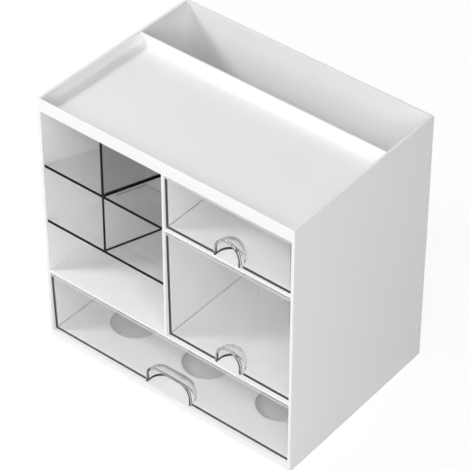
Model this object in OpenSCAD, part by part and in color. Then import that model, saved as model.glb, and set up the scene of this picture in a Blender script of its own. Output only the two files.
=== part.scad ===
// Desktop mini drawers: a white cabinet with a tray and a deep trough on top, four sloping
// clear cells on the left, two clear drawers on the right and a wide clear drawer below.
// Units: millimetres. Z is up, the fronts face -Y, X runs along the front.
// Origin: bottom centre of the cabinet's bounding box.
// Inside the modules Y is measured from the front plane; place() moves it to the origin.

/* [Cabinet] */
// Width across the front edges of the side panels
body_w = 250; // [220:1:280]
// Depth from the front plane to the rear face
body_d = 173.5; // [150:0.5:200]
// Height of the side panels
body_h = 242.5; // [220:0.5:270]
// How much narrower the rear is than the front, both sides together
rear_draw_in = 6; // [0:0.5:10]
// Side panel thickness
side_t = 2.5; // [2:0.1:4]
// Rear panel thickness
rear_t = 2.4; // [1.6:0.1:4]
// Thickness of the shelves, the centre post and the base plate
shelf_t = 2.2; // [1.6:0.1:3]

/* [Base] */
// Height of the base plate's upper face
base_top = 6.8; // [5:0.1:12]
// Diameter of the round holes in the base plate
hole_d = 42.5; // [20:0.5:50]
// Distance between the holes along X
hole_pitch_x = 76.5; // [60:0.5:80]
// Distance of each row of holes from the front or the rear face
hole_inset = 51.7; // [40:0.1:55]

/* [Bays] */
// Clear height of the bottom drawer's bay
bottom_bay_h = 62; // [50:0.5:75]
// Clear height of the top drawer's bay
top_bay_h = 51.1; // [40:0.1:65]
// Distance of the partition's front face from the front plane
partition_y = 114.6; // [90:0.1:130]
// Partition thickness
partition_t = 1.6; // [1.4:0.1:3]

/* [Tray] */
// Depth of the tray below the rim
tray_depth = 10; // [5:0.5:20]
// Thickness of the tray floor
tray_t = 1.9; // [1.4:0.1:3]
// Thickness of the front lip
lip_t = 1.6; // [1.4:0.1:3]

/* [Sloping cells] */
// Thickness of the clear plates
clear_t = 2; // [1.5:0.1:3]
// Slope of the plates, falling to the rear (degrees)
plate_slope = 17.5; // [10:0.5:22]
// Clear height of the upper cells at the front, as a share of the left column's
upper_cell_share = 0.326; // [0.25:0.001:0.36]
// Distance between the two plates, as a share of the left column's height
plate_pitch_share = 0.345; // [0.25:0.001:0.36]
// Recess of the clear plates behind the front plane
plate_recess = 1.3; // [0.5:0.1:5]

/* [Drawers] */
// Wall and floor thickness of the drawers
tub_t = 1.5; // [1.2:0.1:3]
// Gap beside a drawer
side_gap = 0.6; // [0.3:0.1:1.5]
// Gap under and behind a drawer
slide_gap = 0.5; // [0.3:0.1:1]
// Headroom over the top drawer
top_head_gap = 2.4; // [1:0.1:6]
// Headroom over the middle and the bottom drawer
head_gap = 3.7; // [1:0.1:8]
// Recess of the drawers' top edges behind the front plane
front_recess_top = 1; // [0.5:0.1:4]
// Recess of the top drawer's bottom edge
top_recess_bottom = 1.6; // [1.4:0.1:5]
// Recess of the middle drawer's bottom edge
middle_recess_bottom = 2.7; // [1.4:0.1:6]
// Recess of the bottom drawer's bottom edge
bottom_recess_bottom = 3; // [1.4:0.1:6]

/* [Finger pulls] */
// Outer width of the two small pulls
small_pull_w = 25.2; // [25.2:0.1:36]
// Outer height of the two small pulls
small_pull_h = 18.9; // [16:0.1:24]
// Outer width of the wide pull
wide_pull_w = 46.5; // [30:0.5:60]
// Outer height of the wide pull
wide_pull_h = 19.6; // [16:0.1:24]
// Outer radius of the arch's shoulders and of the rounded rear
pull_r = 12.6; // [8:0.1:12.6]
// Wall thickness of the pull
pull_t = 1.75; // [1.2:0.05:3]
// How far the rim stands out from the drawer front
pull_proud = 1.4; // [0.8:0.1:1.4]
// Length of the straight part in front of the rounded rear
pull_l = 4; // [2:0.1:8]

/* [Hidden] */
$fn = 96;
white = "#f4f4f4";
clear = [0.86, 0.88, 0.89, 0.4];
e = 1;
// A stretch narrower than this counts as none
least_w = 0.01;
tray_top = body_h - tray_depth;
bay_top = tray_top - tray_t;
lower_shelf_top = base_top + bottom_bay_h + shelf_t;
middle_shelf_top = bay_top - top_bay_h;
rear_in = body_d - rear_t;
partition_back = partition_y + partition_t;
tub_back = partition_y - slide_gap;
deep_tub_back = rear_in - slide_gap;
top_drawer_z = middle_shelf_top + slide_gap;
middle_drawer_z = lower_shelf_top + slide_gap;
bottom_drawer_z = base_top + slide_gap;
top_drawer_h = bay_top - top_head_gap - top_drawer_z;
middle_drawer_h = middle_shelf_top - shelf_t - head_gap - middle_drawer_z;
bottom_drawer_h = bottom_bay_h - head_gap - slide_gap;
column_h = bay_top - lower_shelf_top;
upper_plate_z = bay_top - column_h * upper_cell_share;
lower_plate_z = upper_plate_z - column_h * plate_pitch_share;
plate_h = clear_t / cos(plate_slope);
cell_x = -(post_face() + inner_x(0)) / 2;

// ---- shared shapes ----

// Inner face of the right side panel at a distance y behind the front plane
function inner_x(y) = body_w / 2 - side_t - rear_draw_in / 2 * y / body_d;
function post_face() = shelf_t / 2;
// Height of a sloping plate's upper face at a distance y behind the front plane
function plate_z(front_z, y) = front_z - (y - plate_recess) * tan(plate_slope);
function bay_middle() = (post_face() + inner_x(0)) / 2;

module place() {
    translate([0, -body_d / 2, 0])
        children();
}

// Plan between the two side panels
module full_plan(y0, y1, gap = 0) {
    polygon([[-inner_x(y0) + gap, y0], [inner_x(y0) - gap, y0],
        [inner_x(y1) - gap, y1], [-inner_x(y1) + gap, y1]]);
}

// Plan between the centre post and the right side panel
module right_plan(y0, y1, gap = 0) {
    polygon([[post_face() + gap, y0], [inner_x(y0) - gap, y0],
        [inner_x(y1) - gap, y1], [post_face() + gap, y1]]);
}

// Plan between the left side panel and the centre post
module left_plan(y0, y1) {
    mirror([1, 0])
        right_plan(y0, y1);
}

module slab(z0, z1) {
    place()
        translate([0, 0, z0])
            linear_extrude(z1 - z0)
                children();
}

// Extrudes a side view, drawn as [y, z], across the whole width
module side_view() {
    rotate([90, 0, 90])
        translate([0, 0, -body_w / 2])
            linear_extrude(body_w)
                children();
}

// ---- white cabinet ----

module side_panel() {
    slab(0, body_h)
        polygon([[inner_x(0), 0], [inner_x(0) + side_t, 0],
            [inner_x(body_d) + side_t, body_d], [inner_x(body_d), body_d]]);
}

module right_side_panel() {
    color(white)
        side_panel();
}

module left_side_panel() {
    color(white)
        mirror([1, 0, 0])
            side_panel();
}

module rear_panel() {
    color(white)
        slab(0, body_h)
            full_plan(rear_in, body_d);
}

module base_plate() {
    color(white)
        slab(base_top - shelf_t, base_top)
            difference() {
                full_plan(shelf_t, rear_in);
                for (ix = [-1:1], y = [hole_inset, body_d - hole_inset])
                    translate([ix * hole_pitch_x, y])
                        circle(d = hole_d);
            }
}

module base_apron() {
    color(white)
        slab(0, base_top)
            full_plan(0, shelf_t);
}

module lower_shelf() {
    color(white)
        slab(lower_shelf_top - shelf_t, lower_shelf_top)
            full_plan(0, rear_in);
}

module middle_shelf() {
    color(white)
        slab(middle_shelf_top - shelf_t, middle_shelf_top)
            right_plan(0, partition_y);
}

module centre_post() {
    color(white)
        slab(lower_shelf_top, bay_top)
            translate([-post_face(), 0])
                square([shelf_t, partition_y]);
}

module partition() {
    color(white)
        slab(lower_shelf_top, body_h)
            full_plan(partition_y, partition_back);
}

module tray_floor() {
    color(white)
        slab(bay_top, tray_top)
            full_plan(lip_t, partition_y);
}

module front_lip() {
    color(white)
        slab(bay_top, body_h)
            full_plan(0, lip_t);
}

// ---- clear sloping cells ----

module sloping_plate(front_z) {
    color(clear)
        place()
            intersection() {
                translate([0, 0, lower_shelf_top])
                    linear_extrude(bay_top - lower_shelf_top)
                        left_plan(plate_recess, partition_y);
                side_view()
                    polygon([[0, plate_z(front_z, 0)],
                        [0, plate_z(front_z, 0) - plate_h],
                        [partition_y, plate_z(front_z, partition_y) - plate_h],
                        [partition_y, plate_z(front_z, partition_y)]]);
            }
}

module upper_sloping_plate() {
    sloping_plate(upper_plate_z);
}

module lower_sloping_plate() {
    sloping_plate(lower_plate_z);
}

// An upright between the heights given at its front and at its rear
module cell_upright(front_top, rear_top, front_bottom, rear_bottom) {
    color(clear)
        place()
            translate([cell_x - clear_t / 2, 0, 0])
                rotate([90, 0, 90])
                    linear_extrude(clear_t)
                        polygon([[plate_recess, front_bottom], [partition_y, rear_bottom],
                            [partition_y, rear_top], [plate_recess, front_top]]);
}

module upper_cell_upright() {
    cell_upright(bay_top, bay_top, upper_plate_z, plate_z(upper_plate_z, partition_y));
}

module lower_cell_upright() {
    cell_upright(upper_plate_z - plate_h, plate_z(upper_plate_z, partition_y) - plate_h,
        lower_plate_z, plate_z(lower_plate_z, partition_y));
}

// ---- clear drawers ----

// Arch in the X-Z plane, standing on the line z = 0
module arch(w, r, h) {
    intersection() {
        union() {
            translate([-w / 2, 0])
                square([w, h - r]);
            for (s = [-1, 1])
                translate([s * (w / 2 - r), h - r])
                    circle(r);
            if (w > 2 * r)
                translate([r - w / 2, 0])
                    square([w - 2 * r, h]);
        }
        translate([-w / 2, 0])
            square([w, h]);
    }
}

// Extrudes an X-Z outline from y0 to y1
module front_view(y0, y1) {
    translate([0, y1, 0])
        rotate([90, 0, 0])
            linear_extrude(y1 - y0)
                children();
}

// Half profile of a post with a ball top, standing on the line z = 0
module ball_post_profile(r, h) {
    intersection() {
        union() {
            square([r, h - r]);
            translate([0, h - r])
                circle(r);
        }
        square([r, h]);
    }
}

// Arched block with a straight length l, whose rear is rounded like a scoop
module scoop(w, r, h, l) {
    front_view(0, l)
        arch(w, r, h);
    translate([0, l, 0])
        if (w > 2 * r + least_w) {
            for (s = [0, 1])
                mirror([s, 0, 0])
                    translate([w / 2 - r, 0, 0])
                        rotate_extrude(angle = 90)
                            ball_post_profile(r, h);
            translate([r - w / 2, 0, 0])
                rotate([90, 0, 90])
                    linear_extrude(w - 2 * r)
                        ball_post_profile(r, h);
        } else {
            rotate_extrude(angle = 180)
                ball_post_profile(r, h);
        }
}

// Scoop-shaped shell, open at the front and below
module pull(x, z, w, h, recess) {
    color(clear)
        place()
            translate([x, recess - pull_proud, z])
                difference() {
                    scoop(w, pull_r, h, pull_l);
                    translate([0, -e, -e])
                        scoop(w - 2 * pull_t, pull_r - pull_t, h - pull_t + e, pull_l + e);
                }
}

// Open-topped tub with a leaning front; children(0) is its plan, children(1) the plan inside
module tub(z, h, recess, back, x, pull_w, pull_h) {
    color(clear)
        place()
            difference() {
                intersection() {
                    translate([0, 0, z])
                        linear_extrude(h)
                            children(0);
                    side_view()
                        polygon([[recess, z], [back, z], [back, z + h], [front_recess_top, z + h]]);
                }
                intersection() {
                    translate([0, 0, z + tub_t])
                        linear_extrude(h)
                            children(1);
                    side_view()
                        polygon([[recess + tub_t, z], [back - tub_t, z],
                            [back - tub_t, z + h + e], [front_recess_top + tub_t, z + h + e]]);
                }
                translate([x, recess - pull_proud, z])
                    scoop(pull_w, pull_r, pull_h, pull_l);
            }
}

module top_drawer() {
    tub(top_drawer_z, top_drawer_h, top_recess_bottom, tub_back,
        bay_middle(), small_pull_w, small_pull_h) {
        right_plan(0, partition_y, side_gap);
        right_plan(0, partition_y, side_gap + tub_t);
    }
}

module top_drawer_pull() {
    pull(bay_middle(), top_drawer_z, small_pull_w, small_pull_h, top_recess_bottom);
}

module middle_drawer() {
    tub(middle_drawer_z, middle_drawer_h, middle_recess_bottom, tub_back,
        bay_middle(), small_pull_w, small_pull_h) {
        right_plan(0, partition_y, side_gap);
        right_plan(0, partition_y, side_gap + tub_t);
    }
}

module middle_drawer_pull() {
    pull(bay_middle(), middle_drawer_z, small_pull_w, small_pull_h, middle_recess_bottom);
}

module bottom_drawer() {
    tub(bottom_drawer_z, bottom_drawer_h, bottom_recess_bottom, deep_tub_back,
        0, wide_pull_w, wide_pull_h) {
        full_plan(0, rear_in, side_gap);
        full_plan(0, rear_in, side_gap + tub_t);
    }
}

module bottom_drawer_pull() {
    pull(0, bottom_drawer_z, wide_pull_w, wide_pull_h, bottom_recess_bottom);
}

left_side_panel();
right_side_panel();
rear_panel();
base_plate();
base_apron();
lower_shelf();
middle_shelf();
centre_post();
partition();
tray_floor();
front_lip();
upper_sloping_plate();
lower_sloping_plate();
upper_cell_upright();
lower_cell_upright();
top_drawer();
top_drawer_pull();
middle_drawer();
middle_drawer_pull();
bottom_drawer();
bottom_drawer_pull();
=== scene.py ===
# %% [markdown]
# # A small desktop cabinet with clear drawers
# The real object is a white moulded cabinet, open in front and on top, that holds three clear
# plastic drawers and a clear insert of sloping cells. This lesson gives it its looks.

import bmesh
import bpy
import math
from mathutils import Matrix, Vector


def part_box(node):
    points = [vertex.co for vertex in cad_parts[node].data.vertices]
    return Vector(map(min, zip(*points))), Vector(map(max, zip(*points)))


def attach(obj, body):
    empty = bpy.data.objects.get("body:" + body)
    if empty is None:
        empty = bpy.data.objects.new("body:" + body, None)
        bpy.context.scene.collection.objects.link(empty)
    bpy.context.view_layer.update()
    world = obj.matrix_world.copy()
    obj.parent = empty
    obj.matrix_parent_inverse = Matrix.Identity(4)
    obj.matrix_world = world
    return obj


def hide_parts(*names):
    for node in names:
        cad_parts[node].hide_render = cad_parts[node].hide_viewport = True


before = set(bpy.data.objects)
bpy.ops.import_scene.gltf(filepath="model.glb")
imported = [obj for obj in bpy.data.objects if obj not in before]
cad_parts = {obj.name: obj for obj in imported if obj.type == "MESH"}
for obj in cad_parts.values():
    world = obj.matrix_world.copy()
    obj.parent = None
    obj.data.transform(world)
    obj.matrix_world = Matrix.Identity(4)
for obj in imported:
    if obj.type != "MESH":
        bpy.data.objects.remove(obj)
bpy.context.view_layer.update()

# %% [markdown]
# ## Sizes
# A size that two pieces share is read from the frame, so that the white walls, the clear sheets
# and the drawers fit each other. The fronts face -Y, and `FRONT` is the plane of the cabinet's
# front edges. The side panels draw in by 3 mm towards the rear, as moulded sides do so that they
# leave their mould.

# %% Sizes read from the frame
MM = 0.001
side_lo, side_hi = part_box("right_side_panel")
FRONT, REAR = side_lo.y, side_hi.y
TOP = side_hi.z
HALF_W = side_hi.x
SIDE_T = 2.5 * MM
DRAW_IN = 3.0 * MM / (REAR - FRONT)
INNER = HALF_W - SIDE_T
REAR_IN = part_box("rear_panel")[0].y
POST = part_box("centre_post")[1].x
PARTITION, PARTITION_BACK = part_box("partition")[0].y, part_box("partition")[1].y
LIP_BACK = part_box("front_lip")[1].y
BAY_TOP, TRAY_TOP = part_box("tray_floor")[0].z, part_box("tray_floor")[1].z
LOWER_SHELF, MIDDLE_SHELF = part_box("lower_shelf"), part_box("middle_shelf")
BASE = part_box("base_plate")
print("cabinet is", round(2 * HALF_W / MM, 1), "mm wide in front")
print("side panels draw in by", round(math.degrees(math.atan(DRAW_IN)), 2), "degrees")

# %% [markdown]
# ## Helpers for building meshes
# Each piece starts as a box made with `create_cube`, and a boolean joins or cuts the boxes. The
# frame's own solids could be dressed as they are, but here each piece is built anew, so that its
# edges can be rounded. Vertices further than `SIDE_ZONE` from the middle belong to the sides,
# and `draw_in` moves them with the side panels.

# %% Boxes and booleans
SIDE_ZONE = 100 * MM


def add_box(bm, low, high):
    """A box between two corners; returns its vertices."""
    low, high = Vector(low), Vector(high)
    made = bmesh.ops.create_cube(bm, size=1.0)["verts"]
    bmesh.ops.scale(bm, verts=made, vec=high - low)
    bmesh.ops.translate(bm, verts=made, vec=(low + high) / 2)
    return made


def draw_in(bm):
    """Moves every vertex that lies near a side panel inwards, more towards the rear."""
    for v in bm.verts:
        if abs(v.co.x) > SIDE_ZONE:
            v.co.x -= math.copysign(DRAW_IN * (v.co.y - FRONT), v.co.x)


def to_object(bm, name):
    """An object that holds the mesh, at the origin."""
    mesh = bpy.data.meshes.new(name)
    bm.to_mesh(mesh)
    bm.free()
    piece = bpy.data.objects.new(name, mesh)
    bpy.context.scene.collection.objects.link(piece)
    return piece


def combine(piece, other, operation):
    """Joins or cuts piece with other, and deletes other."""
    cut = piece.modifiers.new("combine", "BOOLEAN")
    cut.operation, cut.solver, cut.object = operation, "EXACT", other
    graph = bpy.context.evaluated_depsgraph_get()
    mesh = bpy.data.meshes.new_from_object(piece.evaluated_get(graph))
    piece.modifiers.clear()
    old = piece.data
    piece.data = mesh
    bpy.data.meshes.remove(old)
    bpy.data.objects.remove(other)


# %% [markdown]
# ## Rounded edges
# A moulded part has no perfectly sharp edge, and a small round catches the light along each rim.
# A boolean leaves doubles, slivers and cuts across flat faces, and a bevel folds over at them, so
# they are merged or dissolved first. The bevel isn't clamped, because one short edge would then
# shrink every round of the piece to nothing. Weighted normals keep the large faces flat. The
# print shows whether the mesh is closed and free of slivers.

# %% Merging and rounding
WELD = 0.01 * MM
SLIVER = 0.02 * MM
FLAT = math.radians(0.5)
SHARPEST = math.radians(30)
LEAST_AREA = (0.005 * MM) ** 2
ROUND_SEGMENTS = 2


def soften(piece, radius):
    """Merges doubles and flat neighbours, then rounds every edge that bends more than SHARPEST."""
    bm = bmesh.new()
    bm.from_mesh(piece.data)
    bmesh.ops.remove_doubles(bm, verts=bm.verts, dist=WELD)
    bmesh.ops.dissolve_degenerate(bm, dist=SLIVER, edges=bm.edges)
    bmesh.ops.dissolve_limit(bm, angle_limit=FLAT, verts=bm.verts, edges=bm.edges)
    bmesh.ops.dissolve_degenerate(bm, dist=SLIVER, edges=bm.edges)
    corners = [e for e in bm.edges if e.is_manifold and e.calc_face_angle() > SHARPEST]
    bmesh.ops.bevel(
        bm,
        geom=corners,
        offset=radius,
        offset_type="OFFSET",
        segments=ROUND_SEGMENTS,
        profile=0.5,
        affect="EDGES",
        clamp_overlap=False,
        material=-1,
    )
    bmesh.ops.recalc_face_normals(bm, faces=bm.faces)
    open_edges = sum(not e.is_manifold for e in bm.edges)
    slivers = sum(face.calc_area() < LEAST_AREA for face in bm.faces)
    print(piece.name, len(bm.faces), "faces,", open_edges, "open edges,", slivers, "slivers")
    bm.to_mesh(piece.data)
    bm.free()
    piece.data.shade_smooth()
    weighted = piece.modifiers.new("weighted normals", "WEIGHTED_NORMAL")
    weighted.weight = 100


# %% [markdown]
# ## The white cabinet
# The photograph shows no seams, so the cabinet is carved like one moulding, from a block that
# narrows to the rear. It could be put together from eleven plates, but each joint would then
# show as a line.

# %% Cabinet block
bm = bmesh.new()
add_box(bm, (-HALF_W, FRONT, 0), (HALF_W, REAR, TOP))
draw_in(bm)
cabinet = to_object(bm, "cabinet_shell")
print("block has", len(cabinet.data.polygons), "faces")

# %% [markdown]
# ## Its hollows
# One box stands for each hollow: the tray, the trough behind it, the cells' bay, the bays of the
# top, the middle and the bottom drawer, and the space under the base. A hollow that is open to
# the outside reaches past the block by `OUT`, so that the cut leaves no skin.

# %% Tray, trough, bays and the space under the base
OUT = 10 * MM
bm = bmesh.new()
add_box(bm, (-INNER, LIP_BACK, TRAY_TOP), (INNER, PARTITION, TOP + OUT))
add_box(bm, (-INNER, PARTITION_BACK, LOWER_SHELF[1].z), (INNER, REAR_IN, TOP + OUT))
add_box(bm, (-INNER, FRONT - OUT, LOWER_SHELF[1].z), (-POST, PARTITION, BAY_TOP))
add_box(bm, (POST, FRONT - OUT, MIDDLE_SHELF[1].z), (INNER, PARTITION, BAY_TOP))
add_box(bm, (POST, FRONT - OUT, LOWER_SHELF[1].z), (INNER, PARTITION, MIDDLE_SHELF[0].z))
add_box(bm, (-INNER, FRONT - OUT, BASE[1].z), (INNER, REAR_IN, LOWER_SHELF[0].z))
add_box(bm, (-INNER, BASE[0].y, -OUT), (INNER, REAR_IN, BASE[0].z))
draw_in(bm)
combine(cabinet, to_object(bm, "hollows"), "DIFFERENCE")
print("hollowed block has", len(cabinet.data.polygons), "faces")

# %% [markdown]
# ## Holes in the base
# The base has two rows of three round holes, which show through the clear bottom drawer as grey
# discs. Six cylinders cut them in one go, and the cabinet then gets its rounded edges.

# %% Six holes
HOLE_R = 21.25 * MM
HOLE_PITCH = 76.5 * MM
HOLE_INSET = 51.7 * MM
HOLE_DEPTH = 20 * MM
HOLE_SIDES = 72
CABINET_ROUND = 0.35 * MM
bm = bmesh.new()
for row in (FRONT + HOLE_INSET, REAR - HOLE_INSET):
    for column in (-HOLE_PITCH, 0, HOLE_PITCH):
        made = bmesh.ops.create_cone(
            bm,
            cap_ends=True,
            segments=HOLE_SIDES,
            radius1=HOLE_R,
            radius2=HOLE_R,
            depth=HOLE_DEPTH,
        )
        bmesh.ops.translate(bm, verts=made["verts"], vec=(column, row, BASE[1].z))
combine(cabinet, to_object(bm, "holes"), "DIFFERENCE")
soften(cabinet, CABINET_ROUND)

# %% [markdown]
# ## The sloping cells
# Two clear plates slope down to the rear, so that small things slide to the back, and an
# upright crosses each row of cells. Each sheet starts as a box, whose corners are sheared down
# along the slope. An upright is cut just above its foot, and the part below spreads a little, as
# the fillet of a moulded foot does. The sheets are drawn 2.7 mm thick instead of 2 mm, because
# the dark lines of their front edges are that wide in the photograph.

# %% How a clear sheet is made
SOLID_T = 2 * MM
SHEET_T = 2.7 * MM
FIT = 0.1 * MM
SLOPE = math.tan(math.radians(17.5))
SLOPE_UP = Vector((0, SLOPE, 1))
SHEET_H = SHEET_T / math.cos(math.atan(SLOPE))
EXTRA_H = (SHEET_T - SOLID_T) / math.cos(math.atan(SLOPE))
SHEET_ROUND = 0.08 * MM


def make_sheet(name, low, high, level_top=False, foot_h=0, flare=0):
    """A box between two corners that drops towards the rear; a level top stays as it is."""
    bm = bmesh.new()
    for v in add_box(bm, low, high):
        if v.co.z < low[2] + MM or not level_top:
            v.co.z -= (v.co.y - low[1]) * SLOPE
    if foot_h:
        cut = Vector((0, low[1], low[2] + foot_h))
        everything = [*bm.verts, *bm.edges, *bm.faces]
        bmesh.ops.bisect_plane(bm, geom=everything, plane_co=cut, plane_no=SLOPE_UP)
        middle = (low[0] + high[0]) / 2
        for v in bm.verts:
            if (v.co - cut).dot(SLOPE_UP) < -foot_h / 2:
                v.co.x += math.copysign(flare, v.co.x - middle)
    draw_in(bm)
    sheet = to_object(bm, name)
    soften(sheet, SHEET_ROUND)
    return sheet


# %% [markdown]
# ## The two plates
# Each plate fills the cells' bay from the side wall to the post, with a small gap at its sides
# and its rear. Its upper face lies where the solid model's does, so the extra thickness goes
# down.

# %% Two sloping plates
sheets = {}
for node in ("upper_sloping_plate", "lower_sloping_plate"):
    low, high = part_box(node)
    sheets[node] = make_sheet(
        node + "_clear",
        (-INNER + FIT, low.y, high.z - SHEET_H),
        (-POST - FIT, high.y - FIT, high.z),
    )

# %% [markdown]
# ## The uprights
# The upper upright ends level under the tray, and the lower one along the slope under the upper
# plate. Both are drawn a little wider than in the solid model, the upper one more, again to match
# the dark lines. A small gap stays at each foot and top, because clear faces that touch show
# black patches.

# %% Two uprights
feet = {}
for node, plate, wider, foot_h, flare in (
    ("upper_cell_upright", "upper_sloping_plate", 0.35 * MM, 1.6 * MM, 0.7 * MM),
    ("lower_cell_upright", "lower_sloping_plate", 0.15 * MM, 1.0 * MM, 0.4 * MM),
):
    low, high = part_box(node)
    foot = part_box(plate)[1].z + FIT / 2
    under_tray = node == "upper_cell_upright"
    top = high.z - FIT if under_tray else high.z - FIT / 2 - EXTRA_H
    feet[node] = (Vector((0, low.y, foot)), foot_h)
    sheets[node] = make_sheet(
        node + "_clear",
        (low.x - wider, low.y, foot),
        (high.x + wider, high.y - FIT, top),
        under_tray,
        foot_h,
        flare,
    )

# %% [markdown]
# ## The outline of a finger pull
# Each drawer's pull is a scoop: an arch in front that ends in a round like half a ball, open in
# front and below, so that a fingertip hooks under it. A revolve would make the round of a small
# pull but not of the wide one, so all are made from one outline. It starts as one corner, runs
# up a leg, is spun round each shoulder and runs down the other leg.

# %% Helpers for the outline
PULL_R = 12.6 * MM
SHOULDER_STEPS = 20


def spin_shoulder(bm, vert, centre):
    """Turns a corner of the outline by a quarter round centre; returns its last vertex."""
    made = bmesh.ops.spin(
        bm,
        geom=[vert],
        cent=centre,
        axis=(0, 1, 0),
        angle=math.radians(90),
        steps=SHOULDER_STEPS,
        use_merge=False,
    )
    return [g for g in made["geom_last"] if isinstance(g, bmesh.types.BMVert)][0]


def run_to(bm, vert, place):
    """Extrudes the outline's last vertex and moves the new one to place."""
    made = bmesh.ops.extrude_vert_indiv(bm, verts=[vert])
    made["verts"][0].co = place
    return made["verts"][0]


# %% [markdown]
# ## A solid scoop
# The face inside the outline is extruded back in short steps, and each step is drawn in towards
# its core as a quarter circle asks. That gives one closed solid with a round end, for a narrow
# pull and for a wide one.

# %% The scoop
ROUND_STEPS = 12
OUTLINE_WELD = 0.001 * MM


def scoop_block(name, x, y0, y1, z, half_w, radius, height):
    """A solid arch that stands on z, runs from y0 to y1 and ends there in a round."""
    bm = bmesh.new()
    shoulder = z + height - radius
    inset = half_w - radius
    first = bmesh.ops.create_vert(bm, co=(x - half_w, y0, z))["vert"][0]
    v = run_to(bm, first, (x - half_w, y0, shoulder))
    v = spin_shoulder(bm, v, (x - inset, y0, shoulder))
    if inset > MM:
        v = run_to(bm, v, (x + inset, y0, z + height))
    v = spin_shoulder(bm, v, (x + inset, y0, shoulder))
    run_to(bm, v, (x + half_w, y0, z))
    bmesh.ops.remove_doubles(bm, verts=bm.verts, dist=OUTLINE_WELD)
    face = bmesh.ops.contextual_create(bm, geom=bm.verts)["faces"][0]
    for step in range(ROUND_STEPS):
        turn = math.radians(90 * step / ROUND_STEPS)
        grown = bmesh.ops.extrude_face_region(bm, geom=[face])["geom"]
        if step:
            bmesh.ops.delete(bm, geom=[face], context="FACES_ONLY")
        face = [g for g in grown if isinstance(g, bmesh.types.BMFace)][0]
        back = Vector((0, y1 + radius * math.sin(turn), 0))
        for v in face.verts:
            core = Vector((min(max(v.co.x, x - inset), x + inset), 0, min(v.co.z, shoulder)))
            out = Vector((v.co.x - core.x, 0, v.co.z - core.z)).normalized() * radius
            v.co = core + out * math.cos(turn) + back
    bmesh.ops.recalc_face_normals(bm, faces=bm.faces)
    return to_object(bm, name)


# %% [markdown]
# ## The tubs
# Each drawer is one clear tub, a box whose front leans back a little towards the bottom. Its top
# face is inset by the wall and pushed down to the floor, which hollows it. A solidify modifier
# could do that too, but the inner corners are rounded here on their own, for the soft grey lines
# that the photograph shows there.

# %% A hollow tub
TUB_T = 1.5 * MM
SIDE_GAP = 0.6 * MM
TOP_RECESS = 1 * MM
FILLET = 1.0 * MM
FILLET_SEGMENTS = 4


def hollow_tub(name, bottom_front):
    """A tub in the box of the CAD node name, whose front ends at bottom_front below."""
    low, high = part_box(name)
    top_front = FRONT + TOP_RECESS
    bm = bmesh.new()
    add_box(bm, (low.x, 0, low.z), (high.x, high.y, high.z))
    for v in bm.verts:
        if v.co.y < high.y - MM:
            v.co.y = bottom_front if v.co.z < low.z + MM else top_front
        if abs(v.co.x) > SIDE_ZONE:
            front_x = INNER - SIDE_GAP
            v.co.x = math.copysign(front_x - DRAW_IN * (v.co.y - FRONT), v.co.x)
    lid = max(bm.faces, key=lambda f: f.calc_center_median().z)
    bmesh.ops.inset_region(
        bm, faces=[lid], thickness=TUB_T, use_even_offset=True, use_boundary=True
    )
    sunk = bmesh.ops.extrude_face_region(bm, geom=[lid])["geom"]
    bmesh.ops.delete(bm, geom=[lid], context="FACES")
    floor = [g for g in sunk if isinstance(g, bmesh.types.BMVert)]
    bmesh.ops.translate(bm, verts=floor, vec=(0, 0, low.z + TUB_T - high.z))
    slant = (bottom_front - top_front) * (1 - TUB_T / (high.z - low.z))
    for v in floor:
        if v.co.y < 0.5 * (low.y + high.y):
            v.co.y += slant
    inside = [e for e in bm.edges if any(v in floor for v in e.verts)]
    bmesh.ops.bevel(
        bm,
        geom=inside,
        offset=FILLET,
        offset_type="OFFSET",
        segments=FILLET_SEGMENTS,
        profile=0.5,
        affect="EDGES",
        clamp_overlap=True,
        material=-1,
    )
    bmesh.ops.recalc_face_normals(bm, faces=bm.faces)
    return to_object(bm, name + "_clear")


# %% [markdown]
# ## Tubs and pulls together
# A scoop is joined to each tub, and a smaller one cuts the pull's inside and the notch in the
# drawer's floor in one go. The arch stands a little proud of the front, so that its rim shows.

# %% Three drawers
PULL_T = 1.75 * MM
PULL_PROUD = 1.4 * MM
PULL_STRAIGHT = 4 * MM
DRAWER_ROUND = 0.25 * MM


def make_drawer(name):
    """A clear tub with its pull, from the boxes of the drawer's two CAD nodes."""
    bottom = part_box(name)[0].z
    pull_low, pull_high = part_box(name + "_pull")
    rim = pull_low.y
    tub = hollow_tub(name, rim + PULL_PROUD)
    x = (pull_low.x + pull_high.x) / 2
    half_w = (pull_high.x - pull_low.x) / 2
    height = pull_high.z - pull_low.z
    hood = scoop_block("hood", x, rim, rim + PULL_STRAIGHT, bottom, half_w, PULL_R, height)
    combine(tub, hood, "UNION")
    pocket = scoop_block(
        "pocket",
        x,
        rim - OUT,
        rim + PULL_STRAIGHT,
        bottom - OUT,
        half_w - PULL_T,
        PULL_R - PULL_T,
        height - PULL_T + OUT,
    )
    combine(tub, pocket, "DIFFERENCE")
    soften(tub, DRAWER_ROUND)
    return tub


drawers = {n: make_drawer(n) for n in ("top_drawer", "middle_drawer", "bottom_drawer")}

# %% [markdown]
# ## Helpers for finishes
# `srgb` turns a hex colour to linear light, because shader sockets work in linear light.
# `add_node` adds any kind of node with its settings and links, and `new_material` starts a
# finish with no nodes, so that each one is made here in full.

# %% Colours and nodes
def srgb(code):
    """The linear colour of an sRGB hex code."""
    parts = [int(code[i : i + 2], 16) / 255 for i in (1, 3, 5)]
    linear = [c / 12.92 if c <= 0.04045 else ((c + 0.055) / 1.055) ** 2.4 for c in parts]
    return (*linear, 1.0)


def add_node(tree, kind, values=(), links=(), **settings):
    """Adds a node, sets its settings and socket values, and links its sockets."""
    node = tree.nodes.new(kind)
    for name, value in settings.items():
        setattr(node, name, value)
    for socket, value in dict(values).items():
        node.inputs[socket].default_value = value
    for socket, source in dict(links).items():
        tree.links.new(source, node.inputs[socket])
    return node


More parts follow.
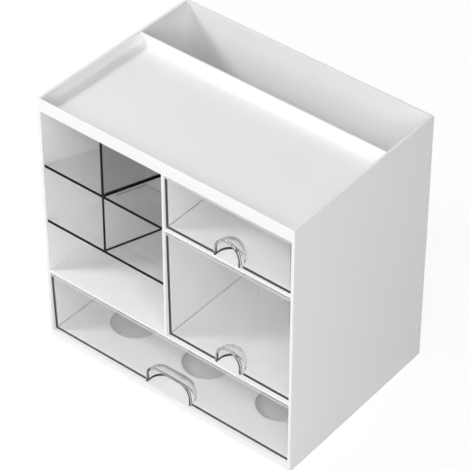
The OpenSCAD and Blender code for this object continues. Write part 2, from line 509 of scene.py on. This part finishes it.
def new_material(name):
    """An empty material and its node tree."""
    material = bpy.data.materials.new(name)
    material.use_nodes = True
    material.node_tree.nodes.clear()
    print("finish:", name)
    return material, material.node_tree


# %% [markdown]
# ## Patches of tone, and the rays that are seen
# No plastic is one flat colour, so `mottle` gives two close tones in soft patches, fixed to the
# piece, with their number per millimetre. `seen_rays` picks the rays that the eye sees straight,
# in a mirror or through a clear part, so that clear plastic shows white around it.

# %% Mottle and seen rays
def mottle(tree, per_mm, darker, lighter, detail=2.0):
    """A colour that wanders between two tones, in per_mm patches to a millimetre."""
    place = add_node(tree, "ShaderNodeTexCoord")
    patches = add_node(
        tree,
        "ShaderNodeTexNoise",
        {"Scale": per_mm / MM, "Detail": detail},
        {"Vector": place.outputs["Object"]},
    )
    tone = add_node(tree, "ShaderNodeValToRGB", links={"Fac": patches.outputs["Fac"]})
    tone.color_ramp.elements[0].color = srgb(darker)
    tone.color_ramp.elements[1].color = srgb(lighter)
    return tone.outputs["Color"]


def seen_rays(tree):
    """1 for the eye's own rays and for those that mirror or pass through a clear part."""
    path = add_node(tree, "ShaderNodeLightPath")
    clear = add_node(
        tree,
        "ShaderNodeMath",
        links={0: path.outputs["Is Glossy Ray"], 1: path.outputs["Is Transmission Ray"]},
        operation="MAXIMUM",
    )
    seen = add_node(
        tree,
        "ShaderNodeMath",
        links={0: path.outputs["Is Camera Ray"], 1: clear.outputs[0]},
        operation="MAXIMUM",
    )
    return seen.outputs[0]


# %% [markdown]
# ## White moulded ABS
# The cabinet is white ABS, moulded in a finely blasted mould. That gives the eye a clean satin
# white, in which lights show as broad soft sheens and never as sharp images. ABS has an IOR of
# 1.54. Real blasting is about 0.05 mm fine, too fine to show, so its grain is drawn 1.1 mm wide
# (0.9 to a millimetre) and very shallow. Clouds about 80 mm wide stand for how the plastic
# flowed.

# %% Satin white ABS
GRAIN_PER_MM = 0.9
GRAIN_DEPTH = 0.2 * MM
CLOUDS_PER_MM = 0.012
white_abs, tree = new_material("white_moulded_abs")
place = add_node(tree, "ShaderNodeTexCoord")
grain = add_node(
    tree,
    "ShaderNodeTexNoise",
    {"Scale": GRAIN_PER_MM / MM, "Detail": 2.0},
    {"Vector": place.outputs["Object"]},
)
bump = add_node(
    tree,
    "ShaderNodeBump",
    {"Strength": 0.03, "Distance": GRAIN_DEPTH},
    {"Height": grain.outputs["Fac"]},
)
satin = add_node(
    tree,
    "ShaderNodeBsdfPrincipled",
    {"Roughness": 0.38, "IOR": 1.54},
    {
        "Base Color": mottle(tree, CLOUDS_PER_MM, "#F5F5F6", "#F9F9F9", detail=3.0),
        "Normal": bump.outputs["Normal"],
    },
)
add_node(tree, "ShaderNodeOutputMaterial", links={"Surface": satin.outputs[0]})

# %% [markdown]
# ## Clear moulded polystyrene
# The drawers and the insert are clear polystyrene, moulded in a polished mould. That gives the
# eye sharp reflections, light bent along every edge, and a faint grey through each face. Its IOR
# is 1.59, and 1.5 is used for reflections as faint as in the photograph. A little light is lost
# in each millimetre, so a wall is nearly clear through its face and dark along its edge, where
# the way through it is long. Rays from lamps and from the white walls pass straight through, so
# that the insides are lit as real ones are, without the noise of true caustics.

# %% Clear polystyrene
CLEAR_IOR = 1.5


def clear_material(name, loss):
    """A clear moulding that loses a share of the light in each millimetre."""
    material, tree = new_material(name)
    glassy = add_node(
        tree,
        "ShaderNodeBsdfPrincipled",
        {
            "Base Color": srgb("#FEFEFE"),
            "Roughness": 0.02,
            "IOR": CLEAR_IOR,
            "Transmission Weight": 1.0,
        },
    )
    through = add_node(tree, "ShaderNodeBsdfTransparent", {"Color": srgb("#FEFEFE")})
    path = add_node(tree, "ShaderNodeLightPath")
    passing = add_node(
        tree,
        "ShaderNodeMath",
        links={0: path.outputs["Is Shadow Ray"], 1: path.outputs["Is Diffuse Ray"]},
        operation="MAXIMUM",
    )
    mix = add_node(
        tree,
        "ShaderNodeMixShader",
        links={0: passing.outputs[0], 1: glassy.outputs[0], 2: through.outputs[0]},
    )
    inside = add_node(
        tree, "ShaderNodeVolumeAbsorption", {"Color": srgb("#424446"), "Density": loss / MM}
    )
    add_node(
        tree,
        "ShaderNodeOutputMaterial",
        links={"Surface": mix.outputs[0], "Volume": inside.outputs[0]},
    )
    return material


# %% [markdown]
# ## How grey each clear piece is
# In the photograph the upper cells look much greyer than the lower ones, and the drawers are
# almost clear. All sheets are one plastic, so each sheet's own loss of light is painted shade. The
# upper sheets lose more, for the shade that the tray throws into the upper cells, and the lower
# ones lose less. Each loss is matched to the grey seen through it.

# %% One clear plastic for the drawers, and one for each sheet with its painted shade
drawer_plastic = clear_material("clear_moulded_polystyrene", 0.010)
# The upper sheets' higher losses are painted shade.
sheet_plastics_painted_shade = {
    "upper_sloping_plate": clear_material("upper_sheet_painted_shade", 0.032),
    "lower_sloping_plate": clear_material("clear_polystyrene_lower_sheet", 0.003),
    "upper_cell_upright": clear_material("upper_wall_painted_shade", 0.135),
    "lower_cell_upright": clear_material("clear_polystyrene_lower_wall", 0.014),
}

# %% [markdown]
# ## Edges of the clear sheets
# The insert's free edges are trimmed flat with a saw. Light that enters a sheet's face is caught
# between the faces and leaves at the narrow edges, away from the eye, so such an edge looks almost
# black. Here that darkness is painted shade, an opaque near-black colour on the edge faces. Edges
# seated against the white walls take some light from them, so their painted shade is greyer. Real
# saw marks are too fine to show, so they are drawn 1.4 mm wide (0.7 to a millimetre).

# %% Painted shade: near-black free edges and greyer seated edges
MARKS_PER_MM = 0.7


def painted_shade_edge_material(name, darker, lighter):
    """A matt edge painted dark, as painted shade, with faint marks."""
    material, tree = new_material(name)
    edge = add_node(
        tree,
        "ShaderNodeBsdfPrincipled",
        {"Roughness": 0.5, "IOR": CLEAR_IOR, "Specular IOR Level": 0.1},
        {"Base Color": mottle(tree, MARKS_PER_MM, darker, lighter)},
    )
    add_node(tree, "ShaderNodeOutputMaterial", links={"Surface": edge.outputs[0]})
    return material


# Both edge colours are painted shade, and the seated one is greyer.
dark_edge_painted_shade = painted_shade_edge_material("sawn_edge_dark_painted_shade", "#060607", "#131415")
seated_edge_painted_shade = painted_shade_edge_material("seated_edge_grey_painted_shade", "#2A2B2C", "#3E3F40")

# %% [markdown]
# ## Rims of the drawers
# Each drawer's rim is painted as a thin white line above the clear wall. This is a painted
# highlight, whitish and partly matt, for the light that the rim's top edge catches. Real frost
# is too fine to show, so it is drawn 0.7 mm wide (1.5 to a millimetre).

# %% Rims with a painted highlight
RIM_PATCHES_PER_MM = 1.5
# The whitish rim colour is a painted highlight.
rim_painted_highlight, tree = new_material("drawer_rim_painted_highlight")
rim = add_node(
    tree,
    "ShaderNodeBsdfPrincipled",
    {"Roughness": 0.4, "IOR": CLEAR_IOR, "Transmission Weight": 0.3},
    {"Base Color": mottle(tree, RIM_PATCHES_PER_MM, "#E8EAEA", "#F6F7F7")},
)
add_node(tree, "ShaderNodeOutputMaterial", links={"Surface": rim.outputs[0]})

# %% [markdown]
# ## Finishes on the pieces
# A face's direction tells which finish it gets. A sheet's front edge faces -Y, its rear edge and a
# plate's side edges face the white walls, an upright's foot lies low above its plate, and a
# drawer's rim is the part of its top that faces up. Edges and feet get painted shade, and rims get
# a painted highlight.

# %% Putting the finishes on
FACING = 0.6
RIM_FACING = 0.3
RIM_DEPTH = 0.5 * MM


def finish_faces(piece, plastic, *finishes):
    """Gives the piece its plastic, then each other finish to the faces that its test picks."""
    piece.data.materials.append(plastic)
    for index, (finish, is_edge) in enumerate(finishes, start=1):
        piece.data.materials.append(finish)
        edges = [face for face in piece.data.polygons if is_edge(face)]
        for face in edges:
            face.material_index = index
        print(piece.name, "has", len(edges), "faces of", finish.name)


def in_foot(node, face):
    """True for the faces of an upright's spread foot."""
    if node not in feet:
        return False
    corner, foot_h = feet[node]
    return (face.center - corner).dot(SLOPE_UP) < foot_h


def is_seated(node, face):
    """True for a sheet's rear edge, and for a plate's side edges."""
    return face.normal.y > FACING or (node not in feet and abs(face.normal.x) > FACING)


cabinet.data.materials.append(white_abs)
# Free edges and feet take the near-black painted shade, and seated edges take the greyer painted
# shade.
for node, piece in sheets.items():
    finish_faces(
        piece,
        sheet_plastics_painted_shade[node],
        (dark_edge_painted_shade, lambda face: face.normal.y < -FACING or in_foot(node, face)),
        (seated_edge_painted_shade, lambda face: is_seated(node, face)),
    )
# Each drawer's rim takes the white painted highlight.
for node, piece in drawers.items():
    rim_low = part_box(node)[1].z - RIM_DEPTH
    finish_faces(
        piece,
        drawer_plastic,
        (rim_painted_highlight, lambda face: face.normal.z > RIM_FACING and face.center.z > rim_low),
    )

# %% [markdown]
# ## What each piece stands for and rides on
# The cabinet stands for its eleven walls, and the sheets stay still with it. Each drawer stands
# for its tub and its pull, and rides on its own sliding body, so that both slide out as one.

# %% Pieces ride on the bodies
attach(cabinet, "cabinet")
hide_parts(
    "left_side_panel", "right_side_panel", "rear_panel", "base_plate", "base_apron",
    "lower_shelf", "middle_shelf", "centre_post", "partition", "tray_floor", "front_lip",
)
for node, piece in sheets.items():
    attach(piece, "cabinet")
    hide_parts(node)
for node, piece in drawers.items():
    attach(piece, node + "_unit")
    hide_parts(node, node + "_pull")
print(1 + len(sheets) + len(drawers), "pieces ride")

# %% [markdown]
# ## Floor
# The photograph's background is plain white. The floor is white paper that also glows for the
# rays that the eye sees, so it renders as white, while its matt part keeps the object's shadow.
# Under the cabinet it doesn't glow, and its colour is painted greyer as painted shade for the
# little light that gets in there, so the holes in the base show it as mid grey. How far a point
# lies past the cabinet's footprint tells the two apart, and the footprint is taken 3 mm smaller,
# so that no painted shade peeps out.

# %% Where the paper glows
FLOOR_HALF = 6
MASK_INSET = 3 * MM
bm = bmesh.new()
bmesh.ops.create_grid(bm, x_segments=1, y_segments=1, size=FLOOR_HALF)
floor = to_object(bm, "floor")
paper, tree = new_material("white_paper_floor")
place = add_node(tree, "ShaderNodeTexCoord")
away = add_node(
    tree, "ShaderNodeVectorMath", links={0: place.outputs["Object"]}, operation="ABSOLUTE"
)
past = add_node(
    tree,
    "ShaderNodeVectorMath",
    {1: (INNER - MASK_INSET, -FRONT - MASK_INSET, 0)},
    {0: away.outputs[0]},
    operation="SUBTRACT",
)
axes = add_node(tree, "ShaderNodeSeparateXYZ", links={0: past.outputs[0]})
further = add_node(
    tree, "ShaderNodeMath", links={0: axes.outputs[0], 1: axes.outputs[1]}, operation="MAXIMUM"
)
outside = add_node(
    tree, "ShaderNodeMath", {1: 0.0}, {0: further.outputs[0]}, operation="GREATER_THAN"
)

# %% [markdown]
# ## How the paper looks
# Two shaders are mixed. The matt one takes the shadow, and the glow makes the paper white for
# the rays that the eye sees. A fifth of the mix stays matt, so that the shadow still shows.

# %% Matt paper and its glow
GLOW = 1.1
GLOW_SHARE = 0.8
# Under the cabinet the paper is painted grey, as painted shade.
paper_and_painted_shade = add_node(tree, "ShaderNodeValToRGB", links={"Fac": outside.outputs[0]})
paper_and_painted_shade.color_ramp.elements[0].color = srgb("#D2D2D2")
paper_and_painted_shade.color_ramp.elements[1].color = srgb("#F2F2F2")
matt = add_node(tree, "ShaderNodeBsdfDiffuse", links={"Color": paper_and_painted_shade.outputs["Color"]})
glow = add_node(tree, "ShaderNodeEmission", {"Color": srgb("#FFFFFF"), "Strength": GLOW})
glowing = add_node(
    tree, "ShaderNodeMath", {1: GLOW_SHARE}, {0: seen_rays(tree)}, operation="MULTIPLY"
)
share = add_node(
    tree,
    "ShaderNodeMath",
    links={0: glowing.outputs[0], 1: outside.outputs[0]},
    operation="MULTIPLY",
)
mix = add_node(
    tree,
    "ShaderNodeMixShader",
    links={0: share.outputs[0], 1: matt.outputs[0], 2: glow.outputs[0]},
)
add_node(tree, "ShaderNodeOutputMaterial", links={"Surface": mix.outputs[0]})
floor.data.materials.append(paper)
print("floor is", 2 * FLOOR_HALF, "m wide")

# %% [markdown]
# ## World
# The eye, mirrors and clear parts see white all around. The object itself gets only a little
# light from the room, so that the lamps shape it.

# %% White surroundings, dim room
ROOM_LIGHT = 0.11
world = bpy.data.worlds.new("studio")
bpy.context.scene.world = world
world.use_nodes = True
tree = world.node_tree
tree.nodes.clear()
room = add_node(
    tree, "ShaderNodeBackground", {"Color": srgb("#FFFFFF"), "Strength": ROOM_LIGHT}
)
white = add_node(tree, "ShaderNodeBackground", {"Color": srgb("#FFFFFF"), "Strength": 1.0})
mix = add_node(
    tree,
    "ShaderNodeMixShader",
    links={0: seen_rays(tree), 1: room.outputs[0], 2: white.outputs[0]},
)
add_node(tree, "ShaderNodeOutputWorld", links={"Surface": mix.outputs[0]})
print("the room lights the object with", ROOM_LIGHT, "of the white that is seen")

# %% [markdown]
# ## Lamps
# A small lamp high on the left throws the sharp wedge of shadow in the trough, and broad soft
# light comes from the right. Pale walls and the floor throw some back from the sides. Each lamp
# is a square panel, given by its angle round the object from the front to the right, its angle
# above it, its width in metres and its watts. The watts were found by fitting the grey of the
# object's faces.

# %% Seven soft lamps
AIM = Vector((0, 0, 0.12))
LAMP_AWAY = 1.5


def lamp_place(around, above):
    """A place 1.5 m from the object: around from its front to the right, above its middle."""
    around, above = math.radians(around), math.radians(above)
    flat = LAMP_AWAY * math.cos(above)
    rise = LAMP_AWAY * math.sin(above)
    return AIM + Vector((flat * math.sin(around), -flat * math.cos(around), rise))


def add_lamp(name, place, size, watts):
    """A square panel at place that looks at AIM."""
    lamp = bpy.data.lights.new(name, "AREA")
    lamp.size, lamp.energy = size, watts
    piece = bpy.data.objects.new(name, lamp)
    bpy.context.scene.collection.objects.link(piece)
    piece.location = place
    piece.rotation_euler = (AIM - place).to_track_quat("-Z", "Y").to_euler()
    print(name, watts, "W")


for name, around, above, size, watts in (
    ("key_softbox", -50, 38, 0.3, 9.2),
    ("right_softbox", 40, 35, 1.0, 10.8),
    ("left_wall", -90, 25, 1.0, 4.8),
    ("top_softbox", -90, 75, 1.0, 1.9),
    ("left_floor_bounce", -75, 5, 1.0, 2.4),
    ("right_wall", 60, 20, 1.0, 1.6),
    ("right_floor_bounce", 80, 3, 1.0, 1.1),
):
    add_lamp(name, lamp_place(around, above), size, watts)

# %% [markdown]
# ## Camera
# The camera's place, its three axes and its long lens come from fitting the cabinet's corners to
# the photograph. It stands in front, to the right and well above. Light may bounce often enough
# to pass both walls of a drawer and come back from the cabinet's insides.

# %% Camera at the photograph's angle
CAMERA_PLACE = Vector((0.982059, -1.112906 + FRONT, 1.413617))
RIGHT = Vector((0.773025, 0.634376, 0.000772))
DOWN = Vector((0.407462, -0.495583, -0.767054))
AHEAD = Vector((-0.486218, 0.593266, -0.641582))
camera = bpy.data.cameras.new("camera")
camera.sensor_width, camera.lens = 36, 196.575
camera.clip_start, camera.clip_end = 0.1, 20
view = bpy.data.objects.new("camera", camera)
bpy.context.scene.collection.objects.link(view)
turn = Matrix((RIGHT, -DOWN, -AHEAD)).transposed().to_4x4()
view.matrix_world = Matrix.Translation(CAMERA_PLACE) @ turn
bpy.context.scene.camera = view
bpy.context.scene.view_settings.view_transform = "Standard"
cycles = bpy.context.scene.cycles
cycles.max_bounces, cycles.diffuse_bounces, cycles.glossy_bounces = 16, 8, 8
cycles.transmission_bounces, cycles.transparent_max_bounces = 16, 32
print("camera is", round((CAMERA_PLACE - AIM).length, 2), "m away")
